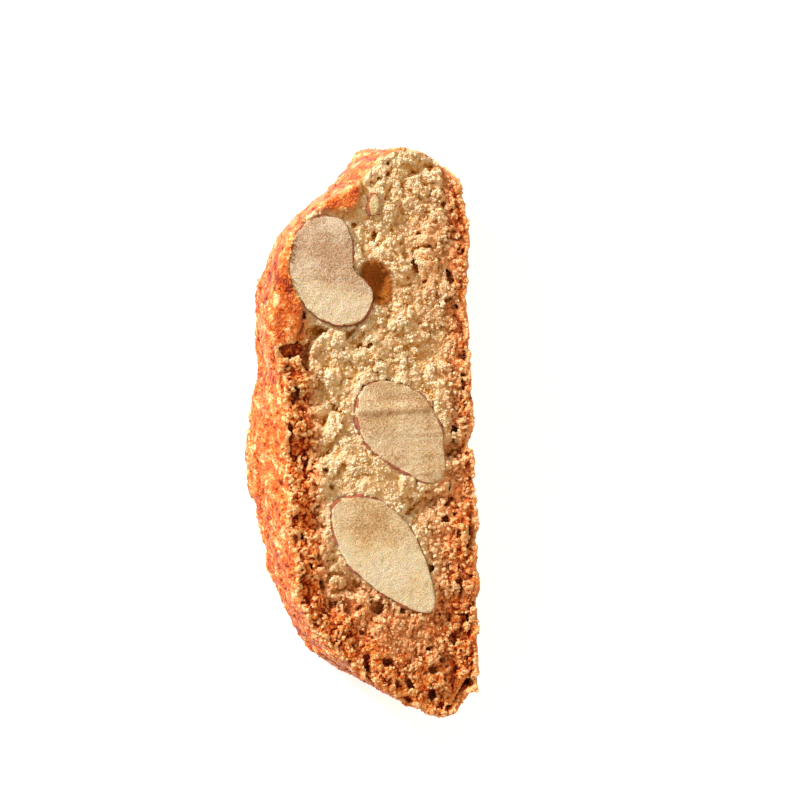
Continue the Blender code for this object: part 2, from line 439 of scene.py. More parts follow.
class Chart:
    """Signed distances from a closed loop, kept on a fine flat grid."""

    def __init__(self, loop: Array, margin: float, step: float) -> None:
        """Measures the distances.

        Args:
            loop: The loop's points, one row each.
            margin: How far the grid reaches past the loop.
            step: The grid's spacing.
        """
        self.step = step
        self.low = loop.min(axis=0) - margin
        high = loop.max(axis=0) + margin
        axes = [np.arange(self.low[a], high[a], step) for a in range(2)]
        self.values = loop_distance(*np.meshgrid(*axes, indexing="ij"), loop).astype(np.float32)
        self.slopes = np.gradient(self.values, step)

    def at(self, x: Array, y: Array, values: Optional[Array] = None) -> Array:
        """Reads the distance at places, or another map that is kept on the same grid."""
        values = self.values if values is None else values
        u = np.clip((x - self.low[0]) / self.step, 0.0, values.shape[0] - 1.001)
        v = np.clip((y - self.low[1]) / self.step, 0.0, values.shape[1] - 1.001)
        i, j = u.astype(np.int32), v.astype(np.int32)
        f, g = (u - i).astype(np.float32), (v - j).astype(np.float32)
        near = values[i, j] * (1.0 - f) + values[i + 1, j] * f
        far = values[i, j + 1] * (1.0 - f) + values[i + 1, j + 1] * f
        return near * (1.0 - g) + far * g


def box_blur(values: Array, radius: int) -> Array:
    """Averages a field over a cube of 2 * radius + 1 points a side."""
    for axis in range(3):
        pad = [(radius + 1, radius) if number == axis else (0, 0) for number in range(3)]
        total = np.moveaxis(np.cumsum(np.pad(values, pad, mode="edge"), axis=axis), axis, 0)
        width = 2 * radius + 1
        values = np.moveaxis((total[width:] - total[:-width]) / width, 0, axis)
    return values


def blob(x: Array, y: Array, spot: tuple[float, float], radii: tuple[float, float]) -> Array:
    """A soft oval spot on the plan, 1 in its middle."""
    return np.exp(-(((x - spot[0]) / radii[0]) ** 2) - ((y - spot[1]) / radii[1]) ** 2)


THICKNESS = 14.0  # of the slice
SIDE_HEIGHT = 0.3  # of a kernel's straight side, under which its nose begins


@dataclass(frozen=True)
class Kernel:
    """An almond kernel that the knife cut.

    Attributes:
        name: The name of its CAD node, which its piece stands for.
        section: The corners of its cut section, anticlockwise.
        depth: How deep it reaches into the slice.
        lean: How far its nose lies from under the section's middle.
        face: The cut face that it shows in.
        bands: How plainly the knife's bands show in its flesh, from 0 to 1.
        yellow: How yellow its flesh is, from 0 to 1.
        grey: How greyish pink its flesh is, from 0 to 1.
        parting: The place on Y where a darker band crosses it, if one does. Its flesh is
            greyer above the band, and paler under it.
    """

    name: str
    section: Corners
    depth: float
    lean: tuple[float, float]
    face: Face = Face.FRONT
    bands: float = 0.3
    yellow: float = 0.4
    grey: float = 0.3
    parting: Optional[float] = None

    STEP = 0.19  # of its lattice
    SPARE = 0.9  # how far the lattice reaches past it
    SETBACK = 0.15  # of its cut from the slice's cut face
    ARRIS = 0.25  # width of the rounding between its cut and its side
    CHEW = ((0.16, 1.3, 31), (0.09, 0.55, 32))  # unevenness of its side: height, length, seed
    MOST_CHEW = 0.03  # which keeps its side close to its seat
    RIDGE = 0.08  # height of the knife's ridges
    SAND = 0.02  # height of the cut's fine unevenness

    @property
    def piece_name(self) -> str:
        """The name of the piece that shows it."""
        return f"{self.name}_flesh"

    @cached_property
    def loop(self) -> Array:
        """The edge of its cut section."""
        return smooth_loop(self.section, 6)

    @cached_property
    def chart(self) -> Chart:
        """Distances from that edge."""
        return Chart(self.loop, 4.0, 0.1)

    def down(self, z: Array) -> Array:
        """How far below its cut face a height is."""
        plane = THICKNESS if self.face is Face.FRONT else 0.0
        return (z - plane) * self.face.value

    def form(self, x: Array, y: Array, z: Array) -> Array:
        """Distance from the kernel's form, which goes on upwards past its cut."""
        down = self.down(z)
        sink = np.clip((down - SIDE_HEIGHT) / self.depth, 0.0, 0.999)
        shrink = np.sqrt(1.0 - sink * sink)
        middle = self.loop.mean(axis=0)
        px, py = (
            middle[way] + (place - middle[way] - self.lean[way] * sink) / shrink
            for way, place in enumerate((x, y))
        )
        return np.maximum(self.chart.at(px, py) * shrink, down - SIDE_HEIGHT - self.depth)

    def build(self, finish: "KernelFinish") -> bpy.types.Object:
        """Makes its piece: a flat, slightly uneven cut over a rounded body.

        Args:
            finish: The finish of its flesh.

        Returns:
            The piece.
        """
        low, high = self.loop.min(axis=0) - self.SPARE, self.loop.max(axis=0) + self.SPARE
        low += np.minimum(self.lean, 0.0)
        high += np.maximum(self.lean, 0.0)
        reach = SIDE_HEIGHT + self.depth + self.SPARE
        levels = (THICKNESS - reach, THICKNESS + self.SPARE)
        if self.face is Face.BACK:
            levels = (-self.SPARE, reach)
        lattice = Lattice((*low, levels[0]), (*high, levels[1]), self.STEP)
        x, y, z = lattice.places()
        chew = sum(height * lattice.rough(length, seed) for height, length, seed in self.CHEW)
        form = self.form(x, y, z) + np.minimum(chew, self.MOST_CHEW)
        ridges = self.RIDGE * self.bands * lattice.rough((9.0, 0.9, 9.0), 33)
        cut = self.SETBACK + self.SAND * lattice.rough(0.45, 34) + ridges - self.down(z)
        points, quads = main_part(*net(blunt_max(form, cut, self.ARRIS), lattice))
        if self.face is Face.BACK:
            points[:, 2] = np.maximum(points[:, 2], self.SAND)  # clear of the table
        even = np.ones(len(points))
        grey, bands, pale = self.grey * even, self.bands * even, 0.0 * even
        if self.parting is not None:
            above = points[:, 1] - self.parting + 0.25 * points[:, 0]
            grey *= 0.1 + 0.9 * ease(-1.5, 0.5, above)
            bands *= 1.0 + 2.5 * np.exp(-((above / 0.7) ** 2))
            pale = (1.0 - 0.6 * self.grey) * ease(1.5, -3.5, above)
        flat = ease(1.2, 0.5, self.down(points[:, 2]))
        attributes = {
            "edge": -self.chart.at(points[:, 0], points[:, 1]) * flat,
            "yellow": self.yellow * even,
            "grey": grey,
            "bands": bands,
            "pale": pale,
        }
        normals = point_normals(points, quads)
        name, looks = self.piece_name, [finish.material]
        piece = build_mesh(name, points, [quads], normals, attributes, looks)
        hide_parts(self.name)
        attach(piece, BODY)
        return piece


@dataclass(frozen=True)
class Hole:
    """A torn hole or gas bubble in the front face.

    Attributes:
        centre: Its place on the plan.
        length: Its length.
        width: Its width.
        depth: How deep it reaches.
        turn: The turn of its length from +X, in degrees.
        torn: How uneven its wall is: 0 for a smooth bubble.
    """

    centre: tuple[float, float]
    length: float
    width: float
    depth: float
    turn: float
    torn: float = 1.0

    RISE = 0.35  # share of the depth that its centre stands above the face

    def form(self, x: Array, y: Array, z: Array) -> Array:
        """About the distance from its wall, negative inside the hole."""
        turn = math.radians(self.turn)
        dx, dy = x - self.centre[0], y - self.centre[1]
        u = (dx * math.cos(turn) + dy * math.sin(turn)) / (self.length / 2.0)
        v = (dy * math.cos(turn) - dx * math.sin(turn)) / (self.width / 2.0)
        w = (z - THICKNESS - self.RISE * self.depth) / self.depth
        return (np.sqrt(u * u + v * v + w * w) - 1.0) * self.width / 2.0


@dataclass
class Loaf:
    """The slice of loaf: crust all round, torn crumb on its two cut faces.

    Attributes:
        kernels: The almonds that sit in it.
        finish: The finish of crumb and crust.
        step: The spacing of the lattice that it is worked out on.
    """

    kernels: Sequence[Kernel]
    finish: "CrumbFinish"
    step: float = 0.19

    outline: Corners = (
        (15.5, 33.0), (13.2, 39.4), (4.0, 43.2), (-4.6, 37.6), (-12.4, 32.4), (-15.4, 25.0),
        (-15.3, 13.0), (-14.6, 0.0), (-14.6, -14.0), (-12.4, -26.5), (-3.0, -36.6),
        (8.4, -43.6), (13.6, -40.4), (15.5, -33.0),
    )
    bias: float = 0.8  # the knife's lean: how much further along +Y the back face lies
    # Rolls and hollows of the crust: place, rise, radius
    rolls: Sequence[tuple[tuple[float, float, float], float, float]] = (
        ((-15.0, -3.0, 1.0), 2.9, 11.0),
        ((-15.5, 17.5, 12.0), 1.3, 6.0),
        ((-14.0, 28.0, 0.0), -1.7, 6.0),
        ((-1.0, 41.5, 2.0), -1.0, 4.5),
        ((-8.0, -33.0, 1.0), 1.4, 7.0),
        ((-15.0, 12.0, 1.0), -0.8, 4.0),
        ((-10.0, 34.0, -2.0), -2.4, 8.5),
        ((-4.5, 38.5, 14.0), -0.4, 4.5),
        ((-14.0, -21.0, 12.0), 0.8, 6.0),
        ((12.0, -43.0, 6.0), 0.8, 4.0),
        ((13.6, 39.6, 12.0), -0.6, 2.4),
    )
    waves: Sequence[tuple[float, float]] = ((0.55, 8.0), (0.35, 3.2))  # height, length
    base_x: float = 15.5  # of the flat base side
    roll_reach: float = 4.5  # how far from the outline the crust is moved
    slow_step: float = 0.8  # of the coarse lattice for waves and tears
    tear_size: float = 5.5
    tear_relief: float = 1.1
    # Depths of scoops, of the gaps between lumps and between knobs, and of the creases
    # between nodules, each with what toast adds to it
    reliefs: Sequence[tuple[float, float]] = ((0.85, -0.3), (0.46, -0.26), (0.18, 0.0), (0.3, 0.22))
    # Pores: size, seed, slope of their walls, rarity, and how much commoner toast makes them
    pores: Sequence[tuple] = (
        (0.75, 16, 0.17, 2.3, 0.75),
        ((1.2, 1.6, 1.3), 17, 0.36, 2.35, 1.05),
    )
    rest_spot: tuple[float, float] = (5.0, 0.0)
    rest_radius: float = 3.5
    holes: Sequence[Hole] = (
        Hole((0.3, 23.4), 6.4, 4.2, 3.6, 115, torn=0.25),
        Hole((10.3, -36.9), 7.2, 3.0, 4.2, 58),
        Hole((7.8, -39.0), 4.8, 2.2, 3.4, 25),
        Hole((9.2, -35.0), 6.0, 2.0, 3.2, 22),
        Hole((11.6, -30.6), 3.8, 1.9, 2.6, 20),
        Hole((-0.4, -33.6), 3.4, 1.9, 2.4, 140),
        Hole((1.0, -36.0), 4.6, 1.6, 2.2, 155),
        Hole((-9.6, -22.6), 4.8, 1.6, 2.4, 105),
        Hole((-10.6, -15.6), 4.2, 1.5, 2.2, 95),
        Hole((-13.2, 7.8), 6.0, 1.5, 2.6, 80),
        Hole((-9.8, 16.6), 4.6, 2.2, 2.4, 10),
        Hole((12.2, 25.0), 3.6, 1.5, 2.0, 80),
        Hole((12.2, -16.5), 5.6, 1.5, 2.2, 85),
    )
    # Corner of the loaf where the crust rolled over the cut, smooth and without crumb
    smooth_corner: Corners = (
        (3.6, 43.6), (-0.9, 41.5), (-2.3, 35.2), (-4.7, 33.9), (-8.8, 34.0), (-11.4, 32.2),
        (-13.0, 26.5), (-11.6, 20.4), (-13.4, 15.0), (-17.5, 17.0), (-17.5, 28.0),
        (-12.0, 37.0), (-6.0, 42.0), (0.0, 45.5),
    )
    # Lumps of close crumb in the front face, with few tears and pores: place, radii
    lumps: Sequence[tuple[tuple[float, float], tuple[float, float]]] = (
        ((-0.6, -6.4), (4.6, 3.2)),
        ((-0.5, -31.4), (5.2, 3.0)),
    )
    split_level: float = 5.8  # between the deepest kernels of the two faces
    # Places on Y, clear of the kernels' seats, where the front and the back are split
    front_splits: Sequence[float] = (37.8, 11.6, -7.85, -28.0)
    back_splits: Sequence[float] = (11.6, -3.5, -24.0)

    lattice: Lattice = field(init=False)
    plan: Chart = field(init=False)

    def __post_init__(self) -> None:
        """Lays out the lattice and measures the outline."""
        self.lattice = Lattice((-19.0, -46.0, -0.9), (17.5, 46.5, THICKNESS + 0.9), self.step)
        self.plan = Chart(smooth_loop(self.outline, 12), 6.0, 0.2)

    def wall(self) -> Array:
        """Distance from the crust, with its rolls and waves and without finer relief."""
        x, y, z = self.lattice.places()
        side = self.plan.at(x, y - self.bias * (1.0 - z / THICKNESS))
        near = np.abs(side) < self.roll_reach
        spots = np.argwhere(near)
        foot = spots * self.step + np.array(self.lattice.low)
        gap = side[near]
        foot_y = foot[:, 1] - self.bias * (1.0 - foot[:, 2] / THICKNESS)
        for number in range(2):
            foot[:, number] -= gap * self.plan.at(foot[:, 0], foot_y, self.plan.slopes[number])
        swell = self.lattice.sampled(
            self.slow_step,
            lambda point: sum(high * noise.noise(point / size) for high, size in self.waves),
        )
        rise = self.lattice.read(swell, foot)
        for place, height, radius in self.rolls:
            rise += height * np.exp(-np.sum((foot - place) ** 2, axis=1) / radius**2)
        side[near] -= rise
        return side

    def toast(self, x: Array, y: Array, front: bool) -> Array:
        """How far the crumb of a cut face is browned, from 0 to 1.

        Args:
            x: X of each place.
            y: Y of each place.
            front: Whether it is the front face.

        Returns:
            The share at each place.
        """
        inner = -self.plan.at(x, y)
        base_edge = 0.85 * ease(6.5, 1.2, self.base_x - x)
        if not front:
            return np.maximum(0.9 * ease(5.5, 0.8, inner), base_edge)
        crust_side = ease(6.6, 2.8, inner) * ease(24.0, 17.0, y) * ease(6.0, -4.0, x)
        tip = ease(-12.0, -29.0, y) * (0.8 + 0.2 * ease(8.0, 2.0, inner))
        low_right = blob(x, y, (13.0, -17.0), (5.5, 16.0))
        right_top = 0.4 * blob(x, y, (11.0, 27.0), (6.0, 11.0))
        most = base_edge
        for part in (crust_side, tip, low_right, right_top):
            most = np.maximum(most, part)
        paler = 0.25 * blob(x, y, (2.0, -30.5), (4.0, 2.4))
        return np.clip(most - paler, 0.0, 1.0)

    def smooth_patch(self, x: Array, y: Array, z: Array) -> Array:
        """1 on the corner where crust covers the front cut, 0 elsewhere."""
        chart = Chart(smooth_loop(self.smooth_corner, 6), 3.0, 0.2)
        return ease(0.5, -0.7, chart.at(x, y)) * ease(9.5, 12.0, z)

    def field(self) -> tuple[Array, Array]:
        """Works out the slice.

        Returns:
            The signed distance at each point of the lattice, and the crust's alone.
        """
        lattice = self.lattice
        x, y, z = lattice.places()
        wall = self.wall()
        coarse, mid = lattice.rough(1.8, 13), lattice.rough(0.9, 12)
        # Nodules stand between the zero places of two unlike noises
        nodule = np.minimum(np.abs(lattice.rough(0.5, 11)), np.abs(lattice.rough(0.58, 14)))
        front = z > THICKNESS / 2.0
        toasts = (self.toast(x[..., 0], y[..., 0], side)[..., None] for side in (True, False))
        toast = np.where(front, *toasts)
        tear = lattice.sampled(
            self.slow_step,
            lambda point: noise.noise(point / self.tear_size + Vector((7.3, 1.9, 4.1))),
        )
        crease = np.clip(0.9 - nodule, 0.0, None)
        dip = self.tear_relief * np.maximum(tear, 0.0)
        hollows = (lattice.rough(2.4, 18) - 0.7, 1.5 - np.abs(coarse), 1.4 - np.abs(mid), crease)
        for (depth, more), hollow in zip(self.reliefs, hollows):
            dip += (depth + more * toast) * np.clip(hollow, 0.0, None)
        # The crumb is smoother by the crust, in close lumps and where the slice rests
        smooth = self.smooth_patch(x, y, z)
        close = ease(7.0, 9.0, z) * sum(blob(x, y, spot, radii) for spot, radii in self.lumps)
        dip *= (1.0 - smooth) * (1.0 - 0.6 * ease(-1.8, -0.2, wall)) * (1.0 - 0.65 * close)
        rest = np.hypot(x - self.rest_spot[0], y - self.rest_spot[1]) / self.rest_radius
        dip *= np.where(front, 1.0, ease(1.0, 2.0, rest))
        face = np.maximum(z - THICKNESS, -z)
        cut = face + dip

        # The crust is rougher low on the left, and the knife chipped its edges
        bare = 0.3 + 0.7 * ease(30.0, 20.0, y) * ease(10.0, -6.0, x)
        skin = wall + bare * (0.24 * crease - 0.1) + 0.1 * np.abs(coarse) + 0.05 * mid
        chip = np.abs(lattice.rough(1.3, 15)) * np.exp(-(((wall - cut) / 1.1) ** 2))
        body = blunt_max(skin, cut, 1.0) + 0.3 * chip * (1.0 - smooth)

        ragged = 0.16 * coarse + 0.14 * mid + 0.1 * crease
        # Pores are the deepest places of noises, and more of them are open in toasted crumb
        small, large = (
            slope * (lattice.rough(size, seed) + rarity - more * toast)
            for size, seed, slope, rarity, more in self.pores
        )
        opened = np.minimum(small, large) + 0.5 * ragged + 0.8 * smooth + 0.3 * close
        # They stay near the cut faces and clear of the crust
        opened += ease(-1.6, -2.6, np.maximum(wall, face))
        opened += 0.7 * ease(-0.9, -1.8, face) * ease(-1.6, -0.6, wall)
        opened += 0.5 * ease(-1.3, -0.4, wall)
        for hole in self.holes:
            opened = np.minimum(opened, hole.form(x, y, z) + hole.torn * ragged)
        body = blunt_max(body, -opened, 0.4)
        for kernel in self.kernels:
            body = self.seat(kernel, body, mid)
        return body, wall

    def seat(self, kernel: Kernel, body: Array, uneven: Array) -> Array:
        """Cuts the seat of a kernel, with a thin gap where the crumb shrank from it.

        Args:
            kernel: The kernel.
            body: The slice's field, which is changed.
            uneven: Unevenness of the gap.

        Returns:
            The field with the seat cut.
        """
        low = np.array((*(kernel.loop.min(axis=0) - 4.0), self.lattice.low[2]))
        high = np.array((*(kernel.loop.max(axis=0) + 4.0), self.lattice.high[2]))
        first = np.maximum(((low - self.lattice.low) / self.step).astype(int), 0)
        last = ((high - self.lattice.low) / self.step).astype(int) + 1
        block = tuple(slice(a, b) for a, b in zip(first, last))
        axes = [self.lattice.axis(number)[block[number]] for number in range(3)]
        x, y, z = axes[0][:, None, None], axes[1][None, :, None], axes[2][None, None, :]
        gap = 0.12 * np.clip(uneven[block] - 0.7, -0.1, 1.7) * ease(1.5, 0.3, kernel.down(z))
        seat = kernel.form(x, y, z) - gap
        body[block] = np.maximum(body[block], -seat)
        return body

    def attributes(
        self, points: Array, body: Array, wall: Array, edges: Array
    ) -> dict[str, Array]:
        """What the finish needs to know at each point.

        Args:
            points: The net's points.
            body: The slice's field.
            wall: The crust's field.
            edges: 1 at the edges of the kernels' sections, 0 elsewhere.

        Returns:
            A value at each point, by name.
        """
        solid = np.clip(0.5 - body / self.step, 0.0, 1.0)
        near, wide = (round(reach / self.step) for reach in (0.35, 1.1))
        x, y, z = points.T
        front = z > THICKNESS / 2.0
        toast = np.where(front, self.toast(x, y, True), self.toast(x, y, False))
        # Painted shade: crumb at the kernels' edges, where the gaps round their seats lie in shade, is
        # coloured as toasted crumb
        toast = np.maximum(toast, 0.55 * edges)
        under_wall = self.lattice.read(wall, points)
        under_cut = np.minimum(THICKNESS - z, z)
        skin = ease(-0.75, -0.25, under_wall) * ease(0.1, 0.9, under_cut)
        bubble = self.holes[0].form(x, y, z)
        return {
            "skin": np.maximum(skin, self.smooth_patch(x, y, z)),
            "toast": toast,
            # How far each point lies in a fine pit or a wider hollow, from the share of solid round it;
            # the finish darkens its colour by these as painted shade
            "pit": 2.0 * self.lattice.read(box_blur(solid, near), points) - 1.0,
            "hollow": 2.0 * self.lattice.read(box_blur(solid, wide), points) - 1.0,
            "bubble": ease(0.9, 0.3, bubble),
        }

    def kernel_edges(self, points: Array) -> Array:
        """1 at the edges of the kernels' cut sections, 0 elsewhere."""
        share = np.zeros(len(points))
        for kernel in self.kernels:
            gap = kernel.chart.at(points[:, 0], points[:, 1])
            close = np.exp(-((gap / 0.35) ** 2)) * ease(1.2, 0.6, kernel.down(points[:, 2]))
            share = np.maximum(share, close)
        return share

    def build(self) -> tuple[list[bpy.types.Object], bpy.types.Object]:
        """Makes the slice's pieces: a front and a back half, each in several lengths.

        The last object is the whole surface in one, for the grains to be strewn on.

        Returns:
            The pieces, and the whole surface.
        """
        body, wall = self.field()
        points, quads = main_part(*net(body, self.lattice))
        points[:, 2] = np.clip(points[:, 2], 0.0, THICKNESS)
        log.info("the slice's net has %d quads", len(quads))
        normals = point_normals(points, quads)
        edges = self.kernel_edges(points)
        attributes = self.attributes(points, body, wall, edges)
        middle = points[quads].mean(axis=1)
        pieces = []
        for half, splits in (("front", self.front_splits), ("back", self.back_splits)):
            in_half = (middle[:, 2] > self.split_level) == (half == "front")
            ends = (math.inf, *splits, -math.inf)
            for number, (high, low) in enumerate(zip(ends, ends[1:]), start=1):
                chosen = in_half & (middle[:, 1] <= high) & (middle[:, 1] > low)
                name = f"biscotto_{half}_{number}"
                lines = [line for line in (high, low) if math.isfinite(line)]
                pieces.append(
                    self.close_part(name, points, quads[chosen], normals, attributes, lines)
                )
        front = ease(5.0, 9.0, points[:, 2])
        bare = (1.0 - attributes["skin"]) * (1.0 - attributes["bubble"])
        clump = self.lattice.read(self.lattice.rough(1.7, 41), points)
        bare *= 0.4 + 0.6 * ease(-0.8, 0.7, clump)
        bare = np.maximum(bare, edges)
        toast = attributes["toast"]
        rough_crust = 0.25 + 0.75 * ease(30.0, 20.0, points[:, 1])
        attributes["pale_front"] = bare * (1.0 - 0.75 * toast) * front
        attributes["toasted_front"] = bare * toast * front
        attributes["all_back"] = bare * (1.0 - front)
        attributes["crusty"] = attributes["skin"] * rough_crust * ease(14.0, 10.0, points[:, 0])
        surface = build_mesh("surface", points, [quads], normals, attributes, [])
        return pieces, surface

    def close_part(
        self,
        name: str,
        points: Array,
        quads: Array,
        normals: Array,
        attributes: dict[str, Array],
        lines: Sequence[float],
    ) -> bpy.types.Object:
        """Makes a closed piece of some of the net's quads.

        Each plane that the piece was split off at is closed by a fan of triangles.

        Args:
            name: The piece's name.
            points: The whole net's points.
            quads: The piece's quads.
            normals: The whole net's normals, which hide the seams.
            attributes: The whole net's attributes.
            lines: The places on Y where the piece was split off.

        Returns:
            The piece.
        """
        used, flat = np.unique(quads, return_inverse=True)
        quads, points = flat.reshape(quads.shape), points[used]
        count = len(used)
        start, stop = rim_ways(quads, count)
        # Hub 0 closes the level plane, and the others close the planes across the slice
        spots = (points[start] + points[stop]) / 2.0
        gaps = [np.abs(spots[:, 2] - self.split_level)]
        gaps += [np.abs(spots[:, 1] - line) for line in lines]
        hub = count + np.argmin(gaps, axis=0)
        inner_y = sum(lines) / len(lines) if len(lines) > 1 else spots[:, 1].mean()
        hubs = [(0.0, inner_y, self.split_level)]
        hubs += [(0.0, line, self.split_level) for line in lines]
        going, coming = np.argsort(start), np.argsort(stop)
        turns = hub[going] != hub[coming]
        joints = np.stack([start[going], hub[coming], hub[going]], axis=1)[turns]
        fan = np.concatenate([np.stack([stop, start, hub], axis=1), joints])
        piece = build_mesh(
            name,
            np.concatenate([points, hubs]),
            [quads, fan],
            np.concatenate([normals[used], [(0.0, 0.0, 1.0)] * len(hubs)]),
            {key: np.append(row[used], [0.0] * len(hubs)) for key, row in attributes.items()},
            [self.finish.material],
        )
        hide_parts("biscotto")
        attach(piece, BODY)
        return piece


@dataclass(frozen=True)
class CrumbFinish:
    """Twice-baked dough: dry torn crumb, and a crust that the oven browned.

    The crumb is matt and pale, and red-brown where it is toasted. The crust is orange-brown
    with a slight gloss. Both are painted darker, ochre to brown, in their pits and hollows
    as painted shade, and lighter on their knobs and lumps as painted light.
    """

    # Ramps from light to dark for the crumb and from dark to light for the crust: pits and hollows take
    # the dark ends as painted shade, knobs and lumps the light ends as painted light, and the crust's
    # lightest colours are partly painted highlights
    pale: Stops = (
        (0.0, "EFDCBF"), (0.3, "EDD3AE"), (0.5, "E5BD8A"),
        (0.66, "D69E52"), (0.82, "B87416"), (1.0, "864408"),
    )
    toasted: Stops = (
        (0.0, "EFBC86"), (0.24, "F0964A"), (0.44, "E2701F"),
        (0.6, "B2400C"), (0.78, "842006"), (1.0, "541003"),
    )
    crust: Stops = (
        (0.0, "862608"), (0.25, "C04E10"), (0.5, "DC6E22"), (0.75, "EA964E"), (1.0, "F6D09C"),
    )
    # Inside the large bubble: the amber of its smooth wall, darkened as painted shade of the deep
    # cavity
    bubble: str = "9C5A16"
    # Widths of grit, specks, patches and slow drifts of tone, in millimetres
    mottling: Sequence[float] = (0.25, 0.45, 1.6, 7.0)
    relief: float = 0.6  # height of the grit and specks, in millimetres

    @cached_property
    def material(self) -> bpy.types.Material:
        """The material of crumb and crust."""
        material, add = fresh_material("twice_baked_dough")
        place = add("ShaderNodeTexCoord", out="Object")
        skin, toast, pit, hollow, bubble = (
            add("ShaderNodeAttribute", out="Fac", attribute_name=name)
            for name in ("skin", "toast", "pit", "hollow", "bubble")
        )
        grit, speck, patch, drift = (
            add("ShaderNodeTexNoise", {"Vector": place, "Scale": 1.0 / (size * MM), "Detail": detail})
            for size, detail in zip(self.mottling, (2.0, 3.0, 3.0, 3.0))
        )
        either_way, patches = (
            add("ShaderNodeMath", (part, 0.5), operation="SUBTRACT") for part in (speck, patch)
        )
        # The more it is toasted, the more specks break up its depths and patches its browning
        specks = add("ShaderNodeMath", (toast, 0.9, 0.4), operation="MULTIPLY_ADD")
        uneven = add("ShaderNodeMath", (toast, 1.0, 0.25), operation="MULTIPLY_ADD")
        # Each sum starts from a value, and its parts are added to it with their weights
        sums = []
        for total, parts in (
            # Depth: pit and hollow darken the crumb, painted shade in its pits and painted light on its
            # knobs
            (0.4, ((pit, 0.8), (hollow, 0.5), (either_way, specks))),
            (toast, ((patches, uneven),)),
            # Tone: pits darken the crust as painted shade, and its knobs are lighter as painted light
            (-1.6, ((drift, 1.0), (patch, 2.0), (pit, -1.0), (speck, 1.2))),
            (0.95, ((skin, -0.62), (either_way, 0.3))),
            (speck, ((grit, 0.7),)),
        ):
            for part, weight in parts:
                total = add("ShaderNodeMath", (part, weight, total), operation="MULTIPLY_ADD")
            sums.append(total)
        depth, brown, tone, roughness, height = sums
        brown = add("ShaderNodeClamp", (brown,))
        deep = add("ShaderNodeMath", (depth, 1.3, -0.08), operation="MULTIPLY_ADD")
        colour, toasted, crust = (
            add("ShaderNodeValToRGB", (part,), stops=stops)
            for part, stops in ((depth, self.pale), (deep, self.toasted), (tone, self.crust))
        )
        for share, over in ((brown, toasted), (bubble, linear(self.bubble)), (skin, crust)):
            inputs = {0: share, 6: colour, 7: over}
            colour = add("ShaderNodeMix", inputs, 2, data_type="RGBA")
        bump = {"Height": height, "Distance": self.relief * MM, "Strength": 1.0}
        inputs = {
            "Base Color": colour,
            "Roughness": roughness,
            "Normal": add("ShaderNodeBump", bump),
            "Specular IOR Level": 0.35,
            "Subsurface Weight": 0.25,
            "Subsurface Radius": (1.0, 0.4, 0.14),
            "Subsurface Scale": 0.8 * MM,
        }
        add("ShaderNodeOutputMaterial", {"Surface": add("ShaderNodeBsdfPrincipled", inputs)})
        return material


